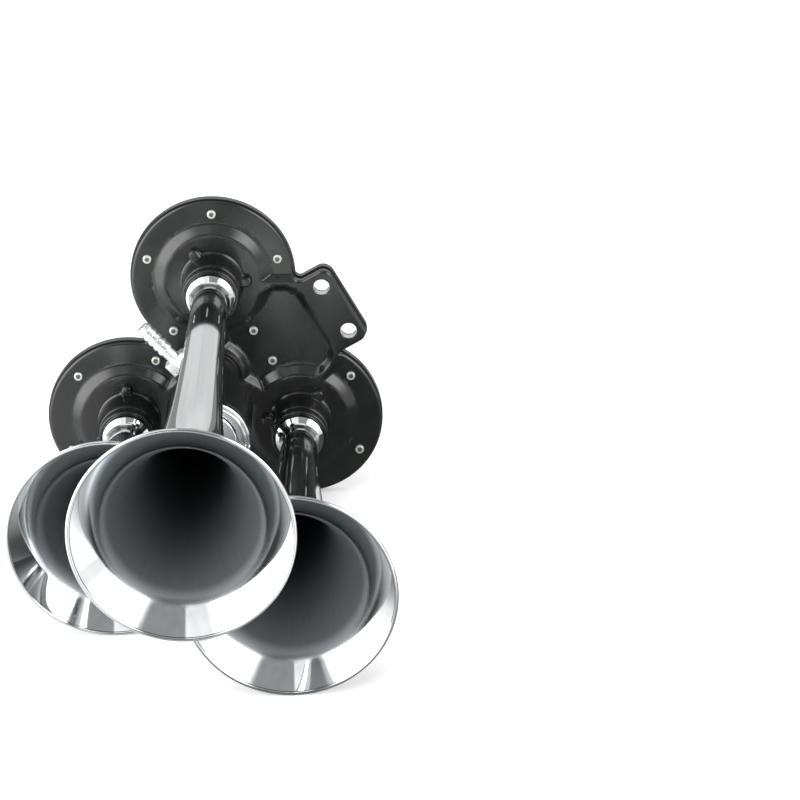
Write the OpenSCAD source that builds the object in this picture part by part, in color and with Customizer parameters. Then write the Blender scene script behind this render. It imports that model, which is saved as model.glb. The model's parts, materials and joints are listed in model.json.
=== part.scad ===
// Three-trumpet car air horn on a pressed steel manifold.
// The manifold stands upright in the XZ plane, its flange face at y = 0.
// The trumpets point along -Y, +X is right and +Z is up.
// The origin is midway between the two bracket holes, in the plane of the flange face.

/* [Manifold] */
// Distance between the centres of the three round discs
disc_spacing = 100; // [90:1:115]
// Diameter of each round disc of the front plate
disc_d = 94; // [88:1:98]
// Thickness of the steel sheet of both pressings
sheet = 1.6; // [1:0.1:2]
// Height of the raised channels, discs and bracket above the flange
raise_h = 4; // [3:0.25:5]
// Diameter of the raised step round each disc, at its foot
step_d = 67; // [62:0.5:68]
// Width of a sloping step in plan
step_run = 5.2; // [3:0.1:6]
// Depth of the front plate's turned rim, from the flange face
rim_depth = 2.8; // [2.4:0.1:3.4]
// Radius of the hollow corners between two discs
web_fillet = 7; // [5:0.5:10]
// Half the width of an air channel at its foot
channel_half_w = 8.5; // [7:0.25:10]
// Radius of the raised middle that carries the air inlet, at its top
middle_r = 17.5; // [17:0.5:19]

/* [Bracket] */
// Distance from the manifold's middle to the bracket's outer edge
tab_reach = 89.9; // [86:0.1:100]
// Width of the bracket along its outer edge
tab_w = 49; // [44:0.5:56]
// How far the bracket's middle lies below the line between the two discs' middle
tab_shift = 0.6; // [0:0.1:5]
// Radius of the bracket's outer corners
tab_corner = 6; // [3:0.5:9]
// Diameter of the two bracket holes
tab_hole_d = 9.5; // [8:0.25:10.5]
// Distance between the two bracket holes
tab_hole_pitch = 31; // [27:0.2:34]
// Distance from a bracket hole to the outer edge
tab_hole_edge = 8.75; // [8:0.25:12]
// Outer diameter of the spacer sleeve round each bracket bolt
sleeve_d = 13.5; // [12.5:0.5:15]

/* [Back cover and seals] */
// Depth of the back cover's turned rim
cover_rim = 4.6; // [3:0.1:6]
// How far the back cover stands out round the front plate
cover_lip = 0.8; // [0.4:0.1:1.2]
// Depth of the round dish behind each diaphragm
dish_depth = 5; // [3:0.25:7]
// Diameter of the dish at the cover's front face
dish_d = 64; // [58:0.5:66]
// Thickness of the sealing gasket between the two pressings
gasket_t = 1.3; // [1:0.1:1.6]
// Diameter of a diaphragm
diaphragm_d = 73; // [70:0.5:74]
// Thickness of a diaphragm
diaphragm_t = 0.3; // [0.2:0.05:0.5]

/* [Screws] */
// Number of screws round each disc
screw_count = 5; // [4:1:6]
// Diameter of the screw circle
screw_circle_d = 79; // [78:0.5:82]
// Diameter of a screw's shank
screw_d = 3; // [2.5:0.1:3.2]
// Diameter of a screw's head
screw_head_d = 5; // [4.4:0.1:5.4]
// Height of a screw's head
screw_head_h = 1.7; // [1.2:0.1:2.4]
// Width across the flats of a screw's nut
nut_af = 5.5; // [5:0.1:6]
// Height of a screw's nut
nut_h = 2.2; // [1.6:0.1:2.6]

/* [Trumpet hubs] */
// Diameter of a hub at its foot
hub_foot_d = 37.2; // [35:0.2:41]
// Diameter of a hub under its lock ring
hub_top_d = 33; // [32.4:0.2:35]
// Height of the hub's sloping body
hub_h = 20; // [16:0.5:24]
// Height of a lug at the hub's foot
lug_h = 4.5; // [3:0.5:10]
// Outer diameter of a lock ring
lock_ring_d = 32.4; // [31.8:0.2:33]
// Height of a lock ring
lock_ring_h = 7; // [6.6:0.1:8.5]
// Bore diameter of an air nozzle
nozzle_bore_d = 11; // [9:0.5:12]

/* [Trumpets] */
// Outer diameter of every bell
bell_d = 116; // [104:1:126]
// Distance from the flange face to the rim of the long trumpet, at the top
long_reach = 375; // [300:1:420]
// Distance from the flange face to the rim of the middle trumpet, at the right
middle_reach = 256; // [230:1:290]
// Distance from the flange face to the rim of the short trumpet, at the left
short_reach = 179; // [170:1:220]
// Wall thickness of a trumpet
trumpet_wall = 1.3; // [1:0.1:1.8]
// Inner diameter of a bell at the crease behind its bright band
crease_d = 86; // [78:1:92]
// Distance of the crease behind the rim
crease_depth = 16; // [12:0.5:22]
// Distance over which the bell narrows by a factor of e
flare_length = 58; // [40:1:75]
// Outer diameter of the tube where it leaves its collar
neck_d = 20.4; // [19:0.2:22]
// Diameter that the tube would reach at the rim without the bell
tube_mouth_d = 28; // [26:0.2:32]
// Diameter of the collar that shows inside the lock ring
collar_d = 27.6; // [25:0.2:28]
// Radius of the rolled bead on a bell's rim
bead_r = 1.1; // [0.9:0.1:2]

/* [Air inlet] */
// Outer diameter of the inlet neck
neck_tube_d = 29; // [26:0.5:31]
// Distance from the flange face to the underside of the chamber
chamber_base_h = 56; // [51:1:64]
// Distance from the flange face to the front of the chamber's cap
cap_h = 111; // [104:1:118]
// Outer diameter of the chamber
chamber_d = 49; // [46:0.5:50]
// Wall thickness of the inlet body
chamber_wall = 2.4; // [1.6:0.1:3]
// Height of the cap's bright skirt
cap_skirt = 5; // [3:0.25:8]
// Distance from the flange face to the hose barb's axis
barb_h = 37; // [32:0.5:42]
// Direction of the hose barb round the inlet, from +X towards +Z
barb_angle = 133; // [120:1:150]
// Outer diameter of the barb's stem between its ridges
barb_stem_d = 7.4; // [6.5:0.1:8.4]
// Outer diameter of the barb's ridges
barb_ridge_d = 9; // [8.6:0.1:10]
// Length of the barb's stem
barb_stem_l = 26; // [20:0.5:32]
// Number of ridges on the barb
barb_ridges = 5; // [3:1:7]
// Width across the flats of the barb's hexagon
barb_af = 13; // [12:0.5:15]
// Diameter of the air passage through the barb
barb_bore_d = 5; // [4:0.5:5.5]

/* [Hidden] */
$fn = 72;
// Running clearance between round pieces that fit in one another
fit = 0.1;
// Overlap that lets a hollow corner cut its discs cleanly
corner_bite = 0.02;
// How far a sloping form reaches below the face that it stands on
root = 0.6;
small_fn = 24;

// Plan geometry, seen from the bells
pitch_r = disc_spacing / sqrt(3);
disc_r = disc_d / 2;
step_r = step_d / 2;
side_mid = pitch_r / 2;
channel_run = 3;
tab_axis = 30;
tab_corner_foot = 3.6;
tab_notch_r = 0.8;
tab_upper = tab_w / 2 - tab_shift;
tab_lower = -tab_w / 2 - tab_shift;
tab_hole_reach = tab_reach - tab_hole_edge;
tab_start = 40;
// Sunk field of the web: its corner, its distance from the bracket's edge and its side slopes
pad_corner = 12;
pad_margin = 24.2;
pad_spread = 2.4;
pad_run = 3.2;
pad_reach = tab_reach - pad_margin;
pad_half_w = tab_w / 2 + pad_spread;
// Raised neck of the bracket: how far its foot lies past a disc's centre line, and its slope's width
neck_out = 2.1;
neck_run = 2.7;
// Foot of the slope that leads from a disc's rim up to the bracket
rim_foot_r = disc_r + 0.2;
rim_foot_run = 3;

// Heights of the stack behind the flange
gasket_top = -sheet;
gasket_back = gasket_top - gasket_t;
cover_back = gasket_back - sheet;
raised_under = raise_h - sheet;
dish_run = 4;

// Heights along a trumpet hub
hub_top_h = raise_h + hub_h;
spigot_h = 4;
spigot_top = hub_top_h + spigot_h;
seal_t = 0.6;
flange_t = 1.6;
flange_base = spigot_top + seal_t;
flange_top = flange_base + flange_t;
lock_base = hub_top_h + 0.3;
lip_plane = lock_base + lock_ring_h;
collar_r = collar_d / 2;
flange_r = collar_r + 0.9;
spigot_r = flange_r + 0.15;
tail_r = 11;
tail_lip_r = 12.6;
tail_lip_t = 1;
nozzle_r = nozzle_bore_d / 2 + 2.5;
nozzle_gap = 0.1;
diaphragm_top_z = gasket_back + diaphragm_t;
throat_r = neck_d / 2 - trumpet_wall;
foot_t = 2.2;
foot_ledge = 1.2;
lug_r = 19.6;
lug_base_r = 3.5;
lug_top_r = 2.9;
lug_turn = [1, 93, 58];

// Trumpet curve
crease_r = crease_d / 2;
neck_r = neck_d / 2;
tube_mouth_r = tube_mouth_d / 2;
// The collar is straight up to collar_straight, then hollow down to the tube at collar_end
collar_straight = lip_plane + 2.4;
collar_end = lip_plane + 9;
bell_mid_r = bell_d / 2 - bead_r;
band_slope = 0.88;
reaches = [long_reach, short_reach, middle_reach];

// Air inlet
inlet_r = neck_tube_d / 2;
stem_r = 7;
stem_bore_r = 4.5;
foot_r = middle_r - 1;
washer_t = 0.8;
foot_base = raise_h + washer_t;
centre_nut_af = 20;
centre_nut_h = 3.4;
chamber_r = chamber_d / 2;
chamber_bore_r = chamber_r - chamber_wall;
cap_base = cap_h - 1.6 - cap_skirt;
chamber_top_h = cap_base - washer_t;
// Distances of the cap's ledge and crown in from its edge
cap_ledge = 6.2;
cap_crown = 7.4;
boss_r = 8.2;
boss_face = inlet_r + 8.2;
barb_hex_l = 8;
barb_hex_base = boss_face + washer_t;
barb_stem_base = barb_hex_base + barb_hex_l;
barb_thread_r = 4.8;
barb_land = 1;

steel_black = "#1d1e1e";
chrome_tone = "#d9dcde";
zinc_tone = "#c9cdc6";
seal_tone = "#101010";
spring_tone = "#8f9496";

// Plan coordinates count from the middle of the three discs: x right, y up, z towards the bells
module face_out() rotate([90, 0, 0]) translate(-on_tab(tab_hole_reach, -tab_shift)) children();

// Discs are counted anticlockwise from the top: 0 top, 1 left, 2 right
function disc_turn(i) = 90 + 120 * i;
function polar(r, a) = [r * cos(a), r * sin(a)];
function disc_centre(i) = polar(pitch_r, disc_turn(i));
// Point at a distance r from p, in the direction of q
function towards(p, q, r) = p + (q - p) * r / norm(q - p);
// Point given along and across the bracket's axis
function on_tab(along, across) =
    [along * cos(tab_axis) - across * sin(tab_axis), along * sin(tab_axis) + across * cos(tab_axis)];

module at_disc(i) translate(disc_centre(i)) children();
module each_screw() for (i = [0:2]) at_disc(i)
    for (k = [0:screw_count - 1]) rotate(disc_turn(i) + k * 360 / screw_count)
        translate([screw_circle_d / 2, 0, 0]) children();
module each_tab_hole() for (s = [-1, 1]) translate(on_tab(tab_hole_reach, s * tab_hole_pitch / 2 - tab_shift))
    children();

// Centres of the hollow corners: one between each free pair of discs, two beside the bracket
// The hollow corner of a free pair widens with the discs' spacing, so that the web stays web_half_w or wider
web_half_w = 9;
web_r = max(web_fillet,
    (pow(disc_spacing / 2, 2) + pow(web_half_w, 2) - pow(disc_r, 2)) / (2 * (disc_r - web_half_w)));
web_corner_out = sqrt(pow(disc_r + web_r, 2) - pow(disc_spacing / 2, 2));
function web_corner(k) = polar(side_mid + web_corner_out, 150 + 120 * k);
function tab_corner_at(r, edge, disc_across, side) =
    on_tab(side_mid + sqrt(pow(disc_r + r, 2) - pow(disc_across - edge - side * r, 2)), edge + side * r);
upper_corner = tab_corner_at(tab_corner_foot, tab_upper, disc_spacing / 2, 1);
lower_corner = tab_corner_at(tab_notch_r, tab_lower, -disc_spacing / 2, -1);

// Outline of the manifold, grown by g
module outline(g) {
    top = disc_centre(0);
    left = disc_centre(1);
    right = disc_centre(2);
    reach = disc_r + g;
    difference() {
        union() {
            for (i = [0:2]) at_disc(i) circle(r = reach);
            polygon([top, towards(top, web_corner(0), reach), towards(left, web_corner(0), reach), left,
                towards(left, web_corner(1), reach), towards(right, web_corner(1), reach), right,
                towards(right, lower_corner, reach), lower_corner + on_tab(0, tab_notch_r + g),
                upper_corner - on_tab(0, tab_corner_foot + g), towards(top, upper_corner, reach)]);
            rotate(tab_axis) tab_outline(g);
        }
        for (k = [0:1]) translate(web_corner(k)) circle(r = web_r - g + corner_bite, $fn = 48);
        translate(upper_corner) circle(r = tab_corner_foot - g + corner_bite, $fn = 48);
        translate(lower_corner) circle(r = max(tab_notch_r - g, 0.2) + corner_bite, $fn = small_fn);
    }
}

// Bracket plate with two round outer corners, grown by g
module tab_outline(g) {
    translate([0, tab_lower - g]) square([tab_reach - tab_corner, tab_w + 2 * g]);
    translate([0, tab_lower + tab_corner]) square([tab_reach + g, tab_w - 2 * tab_corner]);
    for (y = [tab_lower + tab_corner, tab_upper - tab_corner])
        translate([tab_reach - tab_corner, y]) circle(r = tab_corner + g, $fn = 40);
}

// Sunk field of the web beside the bracket, grown by g
module pad_outline(g) rotate(tab_axis) translate([0, -tab_shift]) {
    for (s = [-1, 1]) translate([pad_reach - pad_corner, s * (pad_half_w - pad_corner)])
        circle(r = pad_corner + g, $fn = 48);
    translate([-pitch_r, -pad_half_w - g]) square([pitch_r + pad_reach - pad_corner, 2 * (pad_half_w + g)]);
    translate([0, -pad_half_w + pad_corner]) square([pad_reach + g, 2 * (pad_half_w - pad_corner)]);
}

// How far a sloping skin moves inwards when it drops by d
function slope_shift(d, angle) = d * tan(angle / 2);

// Round sloping form standing on the face at z = -d
module round_step(r, run, d) {
    foot = r - slope_shift(d, atan(raise_h / run));
    lean = run / raise_h;
    translate([0, 0, -d - root])
        cylinder(h = raise_h + 2 * root, r1 = foot + lean * root, r2 = foot - lean * (raise_h + root));
}

// Sloping bar from the middle to a disc
module channel(d) {
    foot = channel_half_w - slope_shift(d, atan(raise_h / channel_run));
    lean = channel_run / raise_h;
    low = foot + lean * root;
    high = foot - lean * (raise_h + root);
    translate([0, 0, -d]) rotate([90, 0, 90]) linear_extrude(height = pitch_r)
        polygon([[-low, -root], [low, -root], [high, raise_h + root], [-high, raise_h + root]]);
}

// Sunk field as a solid that widens towards the raised face
module pad_field(d) {
    k = slope_shift(d, atan(raise_h / pad_run));
    lean = pad_run / raise_h;
    over = 1.5 * root;
    hull() {
        translate([0, 0, -d - over]) linear_extrude(height = 0.01) pad_outline(k - lean * over);
        translate([0, 0, raise_h - d + over]) linear_extrude(height = 0.01) pad_outline(k + lean * (raise_h + over));
    }
}

// Sloping profile whose face passes through x = foot at z = 0 and leans by lean for a rise of 1
module lean_profile(foot, lean, far) {
    low = -2 * root;
    high = raise_h + 2 * root;
    polygon([[foot + lean * low, low], [far, low], [far, high], [foot + lean * high, high]]);
}

// What the bracket's plate leaves low on a disc: the part above a line beside the disc's centre
module tab_side(d) {
    k = slope_shift(d, atan(raise_h / neck_run));
    rim_k = slope_shift(d, atan(raise_h / rim_foot_run));
    low = 2 * root;
    lean = rim_foot_run / raise_h;
    intersection() {
        translate([-pitch_r, 0, -d]) rotate([90, 0, 90]) linear_extrude(height = 3 * pitch_r)
            lean_profile(pitch_r + neck_out - k, -neck_run / raise_h, 3 * pitch_r);
        at_disc(0) translate([0, 0, -d - low]) cylinder(h = raise_h + 2 * low,
            r1 = rim_foot_r + rim_k - lean * low, r2 = rim_foot_r + rim_k + lean * (raise_h + low));
    }
}
module tab_mirror() rotate([0, 0, tab_axis]) mirror([0, 1, 0]) rotate([0, 0, -tab_axis]) children();

// Raised plate of the bracket
module raised_tab(d) difference() {
    intersection() {
        translate([0, 0, -d - root]) linear_extrude(height = raise_h + 2 * root) outline(-d);
        rotate([0, 0, tab_axis]) translate([tab_start, -pitch_r, -d - 2])
            cube([pitch_r + 10, 2 * pitch_r, raise_h + 4]);
    }
    tab_side(d);
    tab_mirror() tab_side(d);
    pad_field(d);
}

// Everything that the press raised, for the skin at depth d below the outer face
module raised_forms(d) intersection() {
    union() {
        raised_tab(d);
        round_step(middle_r + channel_run, channel_run, d);
        for (i = [0:2]) {
            rotate([0, 0, disc_turn(i)]) channel(d);
            at_disc(i) round_step(step_r, step_run, d);
        }
    }
    translate([-2 * pitch_r, -2 * pitch_r, -raise_h]) cube([4 * pitch_r, 4 * pitch_r, 2 * raise_h - d]);
}

// Stamped front plate: flange, turned rim, raised steps, channels and bracket
module front_plate() color(steel_black) face_out() difference() {
    union() {
        translate([0, 0, -rim_depth]) linear_extrude(height = rim_depth) outline(0);
        raised_forms(0);
    }
    translate([0, 0, -rim_depth - 1]) linear_extrude(height = rim_depth - sheet + 1) outline(-sheet);
    raised_forms(sheet);
    for (i = [0:2]) at_disc(i) translate([0, 0, -1]) cylinder(h = raise_h + 2, r = tail_r + fit, $fn = 48);
    translate([0, 0, -1]) cylinder(h = raise_h + 2, r = stem_r + fit, $fn = 36);
    each_screw() translate([0, 0, -sheet - 1]) cylinder(h = sheet + 2, d = screw_d + 2 * fit, $fn = 16);
    each_tab_hole() translate([0, 0, -1]) cylinder(h = raise_h + 2, d = tab_hole_d, $fn = 36);
}

// Stamped back cover with a dish behind each diaphragm
module back_cover() color(steel_black) face_out() {
    angle = atan(dish_depth / dish_run);
    k = slope_shift(sheet, angle);
    difference() {
        union() {
            difference() {
                translate([0, 0, gasket_back - cover_rim]) linear_extrude(height = cover_rim) outline(cover_lip);
                translate([0, 0, gasket_back - cover_rim - 1])
                    linear_extrude(height = cover_rim - sheet + 1) outline(cover_lip - sheet);
            }
            for (i = [0:2]) at_disc(i) translate([0, 0, cover_back - dish_depth])
                cylinder(h = dish_depth + sheet / 2, r1 = dish_d / 2 + k - dish_run,
                    r2 = dish_d / 2 + k + dish_run * sheet / 2 / dish_depth);
        }
        for (i = [0:2]) at_disc(i) translate([0, 0, gasket_back - dish_depth])
            cylinder(h = dish_depth + 1, r1 = dish_d / 2 - dish_run, r2 = dish_d / 2 + dish_run / dish_depth);
        each_screw() translate([0, 0, cover_back - 1]) cylinder(h = sheet + 2, d = screw_d + 2 * fit, $fn = 16);
        each_tab_hole() translate([0, 0, cover_back - 1]) cylinder(h = sheet + 2, d = tab_hole_d, $fn = 36);
    }
}

// Plan of what the bracket's plate leaves low on the top disc
module side_plan() intersection() {
    at_disc(0) circle(r = rim_foot_r);
    translate([-pitch_r, pitch_r + neck_out]) square([3 * pitch_r, 2 * pitch_r]);
}

// Gasket between the pressings, open wherever air flows
module cover_gasket() color(seal_tone) face_out() difference() {
    translate([0, 0, gasket_back]) linear_extrude(height = gasket_t) difference() {
        outline(-sheet - fit);
        for (i = [0:2]) {
            at_disc(i) circle(r = step_r - 0.5);
            rotate(disc_turn(i)) translate([0, -channel_half_w]) square([pitch_r, 2 * channel_half_w]);
        }
        circle(r = middle_r + channel_run);
        difference() {
            rotate(tab_axis) translate([tab_start, -pitch_r]) square([pitch_r + 10, 2 * pitch_r]);
            side_plan();
            rotate(tab_axis) mirror([0, 1]) rotate(-tab_axis) side_plan();
            pad_outline(0);
            for (i = [0:2]) at_disc(i) circle(r = disc_r - sheet);
        }
    }
    for (i = [0:2]) at_disc(i) translate([0, 0, gasket_back - 1]) cylinder(h = 1 + diaphragm_t, d = diaphragm_d + 2 * fit);
    each_screw() translate([0, 0, gasket_back - 1]) cylinder(h = gasket_t + 2, d = screw_d + 0.6, $fn = 16);
}

// Spacers that keep the bracket from being crushed by its bolts
module bracket_sleeves() color(zinc_tone) face_out() each_tab_hole() translate([0, 0, gasket_back]) difference() {
    cylinder(h = raised_under - gasket_back, d = sleeve_d, $fn = 48);
    translate([0, 0, -1]) cylinder(h = raised_under - gasket_back + 2, d = tab_hole_d, $fn = 48);
}

// Socket-head screws
module cover_screws() color(zinc_tone) face_out() each_screw() difference() {
    union() {
        cylinder(h = screw_head_h - 0.3, d = screw_head_d, $fn = small_fn);
        translate([0, 0, screw_head_h - 0.3]) cylinder(h = 0.3, d1 = screw_head_d, d2 = screw_head_d - 0.6, $fn = small_fn);
        translate([0, 0, cover_back - nut_h - 0.8]) cylinder(h = nut_h + 1 - cover_back, d = screw_d, $fn = small_fn);
    }
    translate([0, 0, screw_head_h - 1]) cylinder(h = 2, d = 2.5 / cos(30), $fn = 6);
}

// Hexagon nuts behind the back cover
module cover_nuts() color(zinc_tone) face_out() each_screw() translate([0, 0, cover_back - nut_h]) difference() {
    cylinder(h = nut_h, d = nut_af / cos(30), $fn = 6);
    translate([0, 0, -1]) cylinder(h = nut_h + 2, d = screw_d + 2 * fit, $fn = small_fn);
}

// Sprung steel diaphragm, clamped at its edge
module diaphragm(i) color(spring_tone) face_out() at_disc(i) translate([0, 0, gasket_back])
    cylinder(h = diaphragm_t, d = diaphragm_d);
module diaphragm_top() diaphragm(0);
module diaphragm_left() diaphragm(1);
module diaphragm_right() diaphragm(2);

module each_lug(i) for (k = [0:2]) rotate(lug_turn[i] + 120 * k) translate([lug_r, 0, 0]) children();

// Hub of a trumpet: foot with lugs, threaded spigot, tail rolled over under the plate, air nozzle
module hub(i) color(steel_black) face_out() at_disc(i) difference() {
    seat = diaphragm_top_z + nozzle_gap;
    union() {
        translate([0, 0, raise_h]) linear_extrude(height = foot_t) {
            circle(d = hub_foot_d);
            each_lug(i) circle(r = lug_base_r, $fn = 32);
        }
        translate([0, 0, raise_h + 1]) cylinder(h = hub_h - 1, d1 = hub_foot_d - 2 * foot_ledge, d2 = hub_top_d);
        each_lug(i) translate([0, 0, raise_h + 1]) cylinder(h = lug_h - 1, r1 = lug_base_r - 0.2, r2 = lug_top_r, $fn = 32);
        translate([0, 0, hub_top_h - 1]) cylinder(h = spigot_h + 1, r = spigot_r);
        translate([0, 0, raised_under - tail_lip_t / 2]) cylinder(h = sheet + tail_lip_t, r = tail_r);
        translate([0, 0, raised_under - tail_lip_t]) cylinder(h = tail_lip_t, r = tail_lip_r);
        translate([0, 0, seat]) cylinder(h = raise_h - seat, r = nozzle_r);
    }
    translate([0, 0, seat - 1]) cylinder(h = 5, d = nozzle_bore_d, $fn = 48);
    translate([0, 0, seat + 3]) cylinder(h = spigot_top - seat - 3, d1 = nozzle_bore_d, r2 = throat_r, $fn = 48);
    translate([0, 0, spigot_top - 1]) cylinder(h = 2, r = throat_r, $fn = 48);
}
module hub_top() hub(0);
module hub_left() hub(1);
module hub_right() hub(2);

// Flat seal between a hub and its trumpet
module trumpet_seal(i) color(seal_tone) face_out() at_disc(i) translate([0, 0, spigot_top]) difference() {
    cylinder(h = seal_t, r = flange_r);
    translate([0, 0, -1]) cylinder(h = 3, r = throat_r + 0.4, $fn = 48);
}
module seal_top() trumpet_seal(0);
module seal_left() trumpet_seal(1);
module seal_right() trumpet_seal(2);

// Middle of a trumpet's wall at a distance u behind its rim, for a trumpet of the given reach
function tube_at(u, reach) = neck_r - trumpet_wall / 2
    + (tube_mouth_r - neck_r) * (reach - u - collar_end) / (reach - collar_end);
function band_at(v) = band_slope * v
    + (bell_mid_r - crease_r - band_slope * (crease_depth - bead_r)) * pow(v / (crease_depth - bead_r), 2);
function fall_at(u) = exp(-(u - crease_depth) / flare_length);
// Share of the bell's flare that is left: 1 at the crease and 0 at the collar
function flare_at(u, reach) = (fall_at(u) - fall_at(reach - collar_end)) / (1 - fall_at(reach - collar_end));
function wall_at(u, reach) = u < crease_depth
    ? crease_r + band_at(crease_depth - u)
    : tube_at(u, reach) + (crease_r - tube_at(crease_depth, reach)) * flare_at(u, reach);
// Half the wall, measured along the radius
function half_wall(u, reach) =
    trumpet_wall / 2 * sqrt(1 + pow(wall_at(u - 0.5, reach) - wall_at(u + 0.5, reach), 2));
// Distances behind the rim: 5 down to the crease, then wider apart along the tube
function stations(reach) = concat([for (k = [0:3]) bead_r + (crease_depth - bead_r) * k / 4],
    [for (k = [0:18]) crease_depth + (reach - collar_end - crease_depth) * pow(k / 18, 1.35)]);

// Trumpet with a rolled rim, a flared bell, a slender tube and a collar
module trumpet(i) color(chrome_tone) face_out() at_disc(i) {
    reach = reaches[i];
    marks = stations(reach);
    last = len(marks) - 1;
    outer = [for (k = [last:-1:0]) [wall_at(marks[k], reach) + half_wall(marks[k], reach), reach - marks[k]]];
    inner = [for (k = [0:last]) [wall_at(marks[k], reach) - half_wall(marks[k], reach), reach - marks[k]]];
    collar = [for (k = [0:5]) [neck_r + (collar_r - neck_r) * pow(1 - k / 6, 2),
        collar_straight + (collar_end - collar_straight) * k / 6]];
    difference() {
        union() {
            rotate_extrude() polygon(concat([[throat_r, flange_base], [flange_r, flange_base], [flange_r, flange_top],
                [collar_r, flange_top]], collar, outer, inner));
            translate([0, 0, reach - bead_r]) rotate_extrude() translate([bell_mid_r, 0]) circle(r = bead_r, $fn = 20);
        }
    }
}
module trumpet_long() trumpet(0);
module trumpet_short() trumpet(1);
module trumpet_middle() trumpet(2);

// Lock ring that holds a trumpet's collar on its hub
module lock_ring(i) color(steel_black) face_out() at_disc(i) translate([0, 0, lock_base]) difference() {
    cylinder(h = lock_ring_h, d = lock_ring_d);
    translate([0, 0, -1]) cylinder(h = flange_top - lock_base + 1, r = spigot_r + fit);
    cylinder(h = lock_ring_h + 1, r = collar_r + 0.2);
}
module lock_ring_top() lock_ring(0);
module lock_ring_left() lock_ring(1);
module lock_ring_right() lock_ring(2);

// Turns a form so that it points along the hose barb
module along_barb() translate([0, 0, barb_h]) rotate([0, 0, barb_angle]) rotate([0, 90, 0]) children();

// Hollow body that brings the air in: threaded stem, foot, neck with a side boss, wide chamber
module inlet_body() color(steel_black) face_out() difference() {
    union() {
        translate([0, 0, raised_under - centre_nut_h - 0.6]) cylinder(h = foot_base - raised_under + centre_nut_h + 1, r = stem_r);
        translate([0, 0, foot_base]) cylinder(h = 4, r = foot_r);
        translate([0, 0, foot_base]) cylinder(h = chamber_base_h - foot_base + 1, r = inlet_r);
        translate([0, 0, chamber_base_h]) cylinder(h = chamber_top_h - chamber_base_h, r = chamber_r);
        along_barb() cylinder(h = boss_face, r = boss_r);
    }
    translate([0, 0, raised_under - centre_nut_h - 2])
        cylinder(h = foot_base - raised_under + centre_nut_h + 8, r = stem_bore_r, $fn = 48);
    translate([0, 0, foot_base + 4]) cylinder(h = chamber_base_h - foot_base, r = inlet_r - chamber_wall);
    translate([0, 0, chamber_base_h + chamber_wall]) cylinder(h = chamber_top_h - chamber_base_h, r = chamber_bore_r);
    along_barb() cylinder(h = boss_face + 1, r = barb_thread_r + fit, $fn = 48);
}

// Washer under the inlet's foot
module inlet_gasket() color(seal_tone) face_out() translate([0, 0, raise_h]) difference() {
    cylinder(h = washer_t, r = foot_r);
    translate([0, 0, -1]) cylinder(h = washer_t + 2, r = stem_r + fit);
}

// Nut on the inlet's stem, under the front plate
module inlet_nut() color(zinc_tone) face_out() translate([0, 0, raised_under - centre_nut_h]) difference() {
    cylinder(h = centre_nut_h, d = centre_nut_af / cos(30), $fn = 6);
    translate([0, 0, -1]) cylinder(h = centre_nut_h + 2, r = stem_r + fit);
}

// Bright cap with stepped rings, its plug inside the chamber
module chamber_cap() color(chrome_tone) face_out() {
    r = chamber_r;
    rotate_extrude() polygon([[0, cap_base], [chamber_bore_r - fit - 2, cap_base], [chamber_bore_r - fit - 2, cap_base - 4],
        [chamber_bore_r - fit, cap_base - 4], [chamber_bore_r - fit, cap_base], [r, cap_base],
        [r, cap_base + cap_skirt - 0.6], [r - 0.6, cap_base + cap_skirt], [r - 1.7, cap_base + cap_skirt],
        [r - 1.7, cap_base + cap_skirt - 1], [r - 2.3, cap_base + cap_skirt - 1], [r - 2.3, cap_base + cap_skirt + 0.4],
        [r - 2.6, cap_base + cap_skirt + 0.7], [r - 3.5, cap_base + cap_skirt + 0.7], [r - 4, cap_base + cap_skirt - 0.4],
        [r - cap_ledge, cap_base + cap_skirt - 0.4], [r - cap_crown, cap_h - 0.2], [r - cap_crown - 0.3, cap_h], [0, cap_h]]);
}

// Flat ring between the chamber and its cap
module cap_seal() color(seal_tone) face_out() translate([0, 0, chamber_top_h]) difference() {
    cylinder(h = washer_t, r = chamber_r - 0.3);
    translate([0, 0, -1]) cylinder(h = washer_t + 2, r = chamber_bore_r);
}

// Sealing washer behind the barb's hexagon
module barb_washer() color(seal_tone) face_out() along_barb() translate([0, 0, boss_face]) difference() {
    cylinder(h = washer_t, r = barb_af / 2 + 0.3, $fn = 48);
    translate([0, 0, -1]) cylinder(h = washer_t + 2, r = barb_thread_r + fit, $fn = 48);
}

// Hose barb: thread, hexagon, ridged stem
module hose_barb() color(zinc_tone) face_out() along_barb() {
    pitch = (barb_stem_l - 6) / barb_ridges;
    stem = barb_stem_d / 2;
    ridge = barb_ridge_d / 2;
    start = barb_stem_base + 6;
    teeth = [for (k = [0:barb_ridges - 1]) each [[stem, start + k * pitch], [ridge, start + k * pitch + 0.4],
        [ridge, start + k * pitch + 0.4 + barb_land]]];
    difference() {
        union() {
            translate([0, 0, inlet_r - 4]) cylinder(h = barb_hex_base - inlet_r + 5, r = barb_thread_r, $fn = 48);
            translate([0, 0, barb_hex_base]) cylinder(h = barb_hex_l, d = barb_af / cos(30), $fn = 6);
            rotate_extrude($fn = 48) polygon(concat([[0, barb_hex_base + 1], [stem, barb_hex_base + 1]], teeth,
                [[stem - 0.4, start + barb_ridges * pitch], [0, start + barb_ridges * pitch]]));
        }
        cylinder(h = barb_stem_base + barb_stem_l + 1, d = barb_bore_d, $fn = 36);
    }
}

front_plate();
back_cover();
cover_gasket();
bracket_sleeves();
cover_screws();
cover_nuts();
diaphragm_top();
diaphragm_left();
diaphragm_right();
hub_top();
hub_left();
hub_right();
seal_top();
seal_left();
seal_right();
trumpet_long();
trumpet_short();
trumpet_middle();
lock_ring_top();
lock_ring_left();
lock_ring_right();
inlet_body();
inlet_gasket();
inlet_nut();
chamber_cap();
cap_seal();
barb_washer();
hose_barb();
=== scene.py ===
"""Looks, floor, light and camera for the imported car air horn."""
import json
import math

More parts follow.
